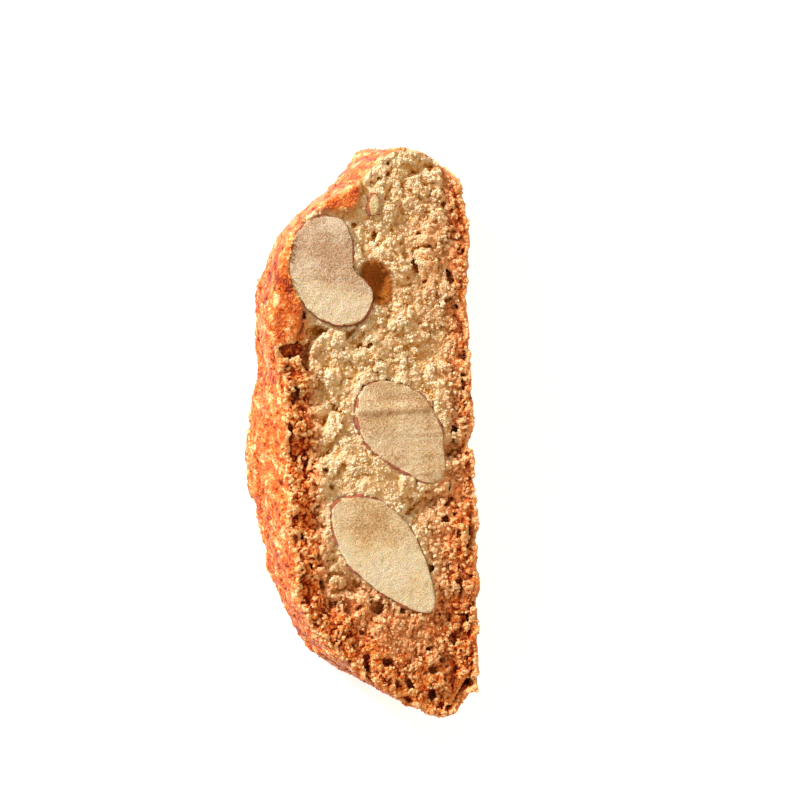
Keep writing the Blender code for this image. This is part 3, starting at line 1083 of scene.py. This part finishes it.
@dataclass(frozen=True)
class KernelFinish:
    """Roasted almond flesh, cut by a knife: wax-like cream, with a fine sandy grain.

    The lighter parts of that grain are painted paler still, partly their own tone and partly
    painted highlights. A brown skin, thinner than the flesh, shows as a broken line at the
    edge of the cut.
    """

    cream: str = "F2E4C6"
    yellow: str = "FFEDBC"
    grey: str = "ECDCCE"
    band: str = "DCC09A"
    # Pale cream of the lightest grain, which also stands for painted highlights
    grain_and_highlight: str = "FFF2DC"
    skin: str = "B5694A"
    shades: Stops = ((0.3, "D2B28C"), (0.48, "F6ECDE"), (0.6, "FFFFFF"))
    # Widths of grit, sand, chips of skin, patches and slow drifts of tone, in millimetres
    mottling: Sequence[float] = (0.13, 0.26, 2.2, 3.0, 6.0)
    band_width: float = 0.9  # of the knife's bands, in millimetres
    band_stretch: float = 12.0  # how many times as long as wide they are
    relief: float = 0.7  # height of the grit and sand, in millimetres

    @cached_property
    def material(self) -> bpy.types.Material:
        """The material of the flesh and of the skin round it."""
        material, add = fresh_material("roasted_almond")
        place = add("ShaderNodeTexCoord", out="Object")
        shrunk = 1.0 / self.band_stretch
        along = add("ShaderNodeMapping", {"Vector": place, "Scale": (shrunk, 1.0, shrunk)})
        edge, yellow, grey, bands, pale = (
            add("ShaderNodeAttribute", out="Fac", attribute_name=name)
            for name in ("edge", "yellow", "grey", "bands", "pale")
        )
        grit, sand, chips, patch, drift, band = (
            add("ShaderNodeTexNoise", {"Vector": way, "Scale": 1.0 / (size * MM), "Detail": 3.0})
            for way, size in (*((place, size) for size in self.mottling), (along, self.band_width))
        )
        patches, drifts = (
            add("ShaderNodeMath", (part, 0.5), operation="SUBTRACT") for part in (patch, drift)
        )
        broken = add("ShaderNodeMapRange", (chips, 0.46, 0.55, -0.1, 0.08))
        # Each sum starts from a value, and its parts are added to it with their weights
        sums = []
        for total, parts in (
            (sand, ((drifts, 0.8), (pale, 0.27))),
            (yellow, ((patches, 1.2),)),
            (broken, ((sand, 0.16),)),
            (sand, ((grit, 0.5),)),
        ):
            for part, weight in parts:
                total = add("ShaderNodeMath", (part, weight, total), operation="MULTIPLY_ADD")
            sums.append(total)
        light, mottled, width, height = sums
        # Paler where the grain and drift are light: partly the flesh's own tone, partly painted
        # highlights
        grain_and_highlight = add("ShaderNodeMath", (light, 3.0, -1.5), operation="MULTIPLY_ADD")
        mottled, grain_and_highlight = (add("ShaderNodeClamp", (part,)) for part in (mottled, grain_and_highlight))
        line = add("ShaderNodeValToRGB", (band,), stops=((0.44, "000000"), (0.56, "FFFFFF")))
        half = add("ShaderNodeMath", (bands, 0.5), operation="MULTIPLY")
        line = add("ShaderNodeMath", (line, half), operation="MULTIPLY")
        shade = add("ShaderNodeValToRGB", (light,), stops=self.shades)
        rim = add("ShaderNodeMath", (edge, width), operation="LESS_THAN")
        colour = linear(self.cream)
        for share, over, way in (
            (mottled, linear(self.yellow), "MIX"),
            (grey, linear(self.grey), "MIX"),
            (line, linear(self.band), "MULTIPLY"),
            (1.0, shade, "MULTIPLY"),
            (grain_and_highlight, linear(self.grain_and_highlight), "MIX"),
            (rim, linear(self.skin), "MIX"),
        ):
            inputs = {0: share, 6: colour, 7: over}
            colour = add("ShaderNodeMix", inputs, 2, data_type="RGBA", blend_type=way)
        bump = {"Height": height, "Distance": self.relief * MM, "Strength": 1.0}
        inputs = {
            "Base Color": colour,
            "Roughness": 0.5,
            "Normal": add("ShaderNodeBump", bump),
            "Subsurface Weight": 0.3,
            "Subsurface Radius": (1.0, 0.6, 0.3),
            "Subsurface Scale": 1.0 * MM,
        }
        add("ShaderNodeOutputMaterial", {"Surface": add("ShaderNodeBsdfPrincipled", inputs)})
        return material


@dataclass(frozen=True)
class Studio:
    """A pale lit table, soft light from the upper left, and the camera over the slice.

    Attributes:
        lean: The camera's lean from straight above towards -X, in degrees.
        nod: Its lean towards +Y, in degrees.
        roll: Its turn about its own axis, in degrees.
        lens: Its focal length, in millimetres.
        scale: How many pixels a millimetre of the slice takes in the picture.
        target: The place that it looks at, in millimetres from the frame's origin.
    """

    lean: float = 22.5
    nod: float = 4.5
    roll: float = -2.0
    lens: float = 85.0
    scale: float = 6.7
    target: tuple[float, float, float] = (3.6, 5.55, 14.0)

    PICTURE = 800  # the picture's width in pixels
    SENSOR = 36.0  # the camera's sensor width in millimetres

    def axes(self) -> tuple[Vector, Vector, Vector]:
        """The picture's right and up, and the way from the slice to the camera."""
        lean, nod, roll = (math.radians(a) for a in (self.lean, self.nod, self.roll))
        low = math.cos(nod)
        back = Vector((-math.sin(lean) * low, math.sin(nod), math.cos(lean) * low))
        right = Vector((math.cos(lean), 0.0, math.sin(lean)))
        up = back.cross(right)
        turned_right = math.cos(roll) * right + math.sin(roll) * up
        turned_up = math.cos(roll) * up - math.sin(roll) * right
        return turned_right, turned_up, back

    def place_camera(self) -> None:
        """Makes the camera."""
        right, up, back = self.axes()
        away = self.PICTURE * self.lens / (self.SENSOR * self.scale)
        camera = bpy.data.objects.new("camera", bpy.data.cameras.new("camera"))
        camera.data.lens = self.lens
        camera.data.sensor_width = self.SENSOR
        camera.data.clip_start, camera.data.clip_end = 0.01, 10.0
        where = (Vector(self.target) + back * away) * MM
        turn = Matrix((right, up, back)).transposed().to_4x4()
        camera.matrix_world = Matrix.Translation(where) @ turn
        bpy.context.scene.collection.objects.link(camera)
        bpy.context.scene.camera = camera

    def hang_light(
        self, name: str, way: tuple[float, float, float], size: float, power: float, colour: str
    ) -> None:
        """Makes one soft light.

        Args:
            name: Its name.
            way: Where it hangs, along the picture's right, its up and towards the camera,
                in metres.
            size: Its width in metres.
            power: Its power in watts.
            colour: Its sRGB hex colour.
        """
        light = bpy.data.lights.new(name, "AREA")
        light.shape = "DISK"
        light.size = size
        light.energy = power
        light.color = linear(colour)[:3]
        lamp = bpy.data.objects.new(name, light)
        place = sum((axis * part for axis, part in zip(self.axes(), way)), Vector())
        lamp.location = place
        lamp.rotation_mode = "QUATERNION"
        lamp.rotation_quaternion = place.to_track_quat("Z", "Y")
        bpy.context.scene.collection.objects.link(lamp)

    def lay_table(self) -> None:
        """Makes the pale table."""
        half = 3.0  # of its width, in metres
        corners = [(-half, -half, 0.0), (half, -half, 0.0), (half, half, 0.0), (-half, half, 0.0)]
        mesh = bpy.data.meshes.new("table")
        mesh.from_pydata(corners, [], [(0, 1, 2, 3)])
        # White paper, matt and lit as evenly as a backdrop, so that only contact shadows show
        material, add = fresh_material("white_paper")
        inputs = {
            "Base Color": linear("ECEEF2"),
            "Roughness": 0.9,
            "Emission Color": linear("EEF4FF"),
            "Emission Strength": 0.66,
        }
        add("ShaderNodeOutputMaterial", {"Surface": add("ShaderNodeBsdfPrincipled", inputs)})
        mesh.materials.append(material)
        table = bpy.data.objects.new("table", mesh)
        bpy.context.scene.collection.objects.link(table)

    def build(self) -> None:
        """Sets up table, light and camera."""
        self.lay_table()
        self.place_camera()
        self.hang_light("key", (-0.55, 0.55, 0.52), 0.13, 17.0, "FFFAF3")
        self.hang_light("fill", (0.7, -0.2, 0.7), 0.9, 3.6, "FFE0B8")
        world = bpy.data.worlds.new("studio")
        world.use_nodes = True
        background = world.node_tree.nodes["Background"]
        background.inputs["Color"].default_value = linear("FFDCB0")
        background.inputs["Strength"].default_value = 0.6
        bpy.context.scene.world = world
        bpy.context.scene.view_settings.view_transform = "Standard"


@dataclass(frozen=True)
class Grains:
    """Grains of crumb that the knife and the baking left standing on a surface.

    Attributes:
        name: The piece's name.
        where: The attribute of the surface that says how thickly they lie.
        count: How many there are on a square millimetre where they lie thickest.
        smallest: The least width of a grain.
        largest: The greatest width of a grain.
        shades: How much more of the painted shade of a pit a grain takes than the place
        that it stands on, between these two.
        seed: The random seed.
    """

    name: str
    where: str
    count: float
    smallest: float
    largest: float
    shades: tuple[float, float]
    seed: int

    def tree(self, material: bpy.types.Material) -> bpy.types.NodeTree:
        """The node tree that strews them.

        Args:
            material: The material of the grains.

        Returns:
            The tree, whose inputs are the surface, the count, the widths and the seed.
        """
        tree = bpy.data.node_groups.new(f"strew_{self.name}", "GeometryNodeTree")
        sockets = (
            ("Surface", "NodeSocketGeometry"),
            ("Grains per square metre", "NodeSocketFloat"),
            ("Smallest width", "NodeSocketFloat"),
            ("Largest width", "NodeSocketFloat"),
            ("Seed", "NodeSocketInt"),
        )
        for name, kind in sockets:
            tree.interface.new_socket(name, in_out="INPUT", socket_type=kind)
        tree.interface.new_socket("Grains", in_out="OUTPUT", socket_type="NodeSocketGeometry")
        add = partial(add_node, tree)
        surface, count, smallest, largest, seed = (
            add("NodeGroupInput", out=name) for name, kind in sockets
        )
        crowd, pit = (
            add("GeometryNodeInputNamedAttribute", {"Name": name}, data_type="FLOAT")
            for name in (self.where, "pit")
        )
        inputs = {
            "Mesh": surface,
            "Distance Min": smallest,
            "Density Max": count,
            "Density Factor": crowd,
            "Seed": seed,
        }
        points = add("GeometryNodeDistributePointsOnFaces", inputs, distribute_method="POISSON")
        width, shade = (
            add("FunctionNodeRandomValue", {2: low, 3: high, "Seed": number}, 1, data_type="FLOAT")
            for low, high, number in ((smallest, largest, seed), (*self.shades, self.seed + 3))
        )
        # Each grain takes the painted pit shade of its place, moved by a random amount
        shade = add("ShaderNodeMath", (pit, shade), operation="ADD")
        inputs = {"Geometry": points, "Name": "pit", "Value": shade}
        points = add("GeometryNodeStoreNamedAttribute", inputs, data_type="FLOAT", domain="POINT")
        grain = add("GeometryNodeMeshIcoSphere", {"Radius": 0.5, "Subdivisions": 1})
        shape, turn = (
            add(
                "FunctionNodeRandomValue",
                {0: (low,) * 3, 1: (high,) * 3, "Seed": number},
                data_type="FLOAT_VECTOR",
            )
            for low, high, number in ((0.65, 1.3, self.seed + 1), (0.0, math.tau, self.seed + 2))
        )
        scale = add("ShaderNodeVectorMath", {0: shape, "Scale": width}, operation="SCALE")
        inputs = {"Points": points, "Instance": grain, "Rotation": turn, "Scale": scale}
        strewn = add("GeometryNodeInstanceOnPoints", inputs)
        made = add("GeometryNodeRealizeInstances", {"Geometry": strewn})
        made = add("GeometryNodeSetMaterial", {"Geometry": made, "Material": material})
        add("NodeGroupOutput", {"Grains": made})
        return tree

    def strew(self, surface: bpy.types.Object, finish: CrumbFinish) -> bpy.types.Object:
        """Strews the grains and makes them a plain mesh.

        Args:
            surface: The surface of the slice.
            finish: The finish of the grains.

        Returns:
            The piece.
        """
        tree = self.tree(finish.material)
        modifier = surface.modifiers.new(self.name, "NODES")
        modifier.node_group = tree
        values = {
            "Grains per square metre": self.count / MM**2,
            "Smallest width": self.smallest * MM,
            "Largest width": self.largest * MM,
            "Seed": self.seed,
        }
        for item in tree.interface.items_tree:
            if item.in_out == "INPUT" and item.name in values:
                modifier[item.identifier] = values[item.name]
        evaluated = surface.evaluated_get(bpy.context.evaluated_depsgraph_get())
        mesh = bpy.data.meshes.new_from_object(evaluated)
        surface.modifiers.remove(modifier)
        for point in mesh.vertices:
            point.co.z = max(point.co.z, 0.0)
        piece = bpy.data.objects.new(self.name, mesh)
        bpy.context.scene.collection.objects.link(piece)
        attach(piece, BODY)
        return piece


GRAINS = (
    Grains("pale_crumbs_front", "pale_front", 3.4, 0.28, 0.66, (-0.3, 0.1), 71),
    Grains("fine_crumbs_front", "pale_front", 6.8, 0.14, 0.34, (-0.3, 0.12), 75),
    Grains("toasted_crumbs_front", "toasted_front", 4.4, 0.18, 0.62, (-0.35, 0.45), 72),
    Grains("crumbs_back", "all_back", 3.0, 0.26, 0.7, (-0.3, 0.2), 73),
    Grains("crust_grains", "crusty", 1.5, 0.18, 0.42, (-0.2, 0.3), 74),
)

KERNELS = (
    Kernel(
        "almond_top",
        (
            (-12.2, 31.0), (-13.7, 25.6), (-11.6, 20.7), (-7.4, 17.7), (-2.8, 17.9),
            (-0.6, 22.0), (-3.6, 25.8), (-3.7, 30.0), (-5.2, 33.0), (-9.4, 33.3),
        ),
        5.6,
        (3.4, -2.6),
        bands=0.3,
        yellow=0.15,
        grey=0.9,
        parting=22.0,
    ),
    Kernel(
        "almond_middle",
        (
            (-3.9, 5.2), (-2.6, -0.4), (2.4, -4.5), (8.4, -7.2),
            (10.2, -3.6), (8.7, 3.6), (4.4, 7.8), (-1.4, 8.7),
        ),
        7.0,
        (-1.0, 1.2),
        bands=0.8,
        yellow=0.4,
        grey=0.2,
    ),
    Kernel(
        "almond_lower",
        (
            (-8.5, -12.0), (-6.2, -18.0), (0.0, -23.8), (6.9, -26.8),
            (7.5, -22.5), (4.4, -14.0), (-1.2, -8.8), (-7.2, -8.5),
        ),
        7.5,
        (0.8, 1.6),
        bands=0.12,
        yellow=0.8,
        grey=0.3,
        parting=-15.0,
    ),
    Kernel(
        "almond_chip",
        ((-0.7, 35.2), (-0.4, 33.4), (0.6, 33.6), (1.0, 35.3), (0.3, 36.6)),
        1.6,
        (0.0, 0.0),
        bands=0.0,
        yellow=1.0,
        grey=0.0,
    ),
    Kernel(
        "almond_back_upper",
        (
            (-3.0, 20.6), (0.2, 16.6), (6.2, 14.8), (11.2, 18.4),
            (8.6, 24.2), (3.6, 26.6), (-2.0, 24.4),
        ),
        5.0,
        (-0.8, 0.6),
        Face.BACK,
    ),
    Kernel(
        "almond_back_lower",
        (
            (-11.2, -9.6), (-10.4, -17.0), (-7.0, -22.0), (-2.8, -20.4),
            (-2.4, -11.4), (-5.4, -5.8), (-9.8, -5.0),
        ),
        4.6,
        (1.0, -0.8),
        Face.BACK,
    ),
)


def main() -> None:
    """Builds the studio, the slice and its almonds, and reports each piece."""
    logging.basicConfig(level=logging.INFO, format="%(name)s: %(message)s")
    Studio().build()
    dough, flesh = CrumbFinish(), KernelFinish()
    pieces, surface = Loaf(KERNELS, dough).build()
    pieces += [kernel.build(flesh) for kernel in KERNELS]
    pieces += [grains.strew(surface, dough) for grains in GRAINS]
    bpy.data.objects.remove(surface, do_unlink=True)
    for piece in pieces:
        corners = len(piece.data.loops)
        log.info("%s has %d triangles", piece.name, corners - 2 * len(piece.data.polygons))


if __name__ == "__main__":
    main()
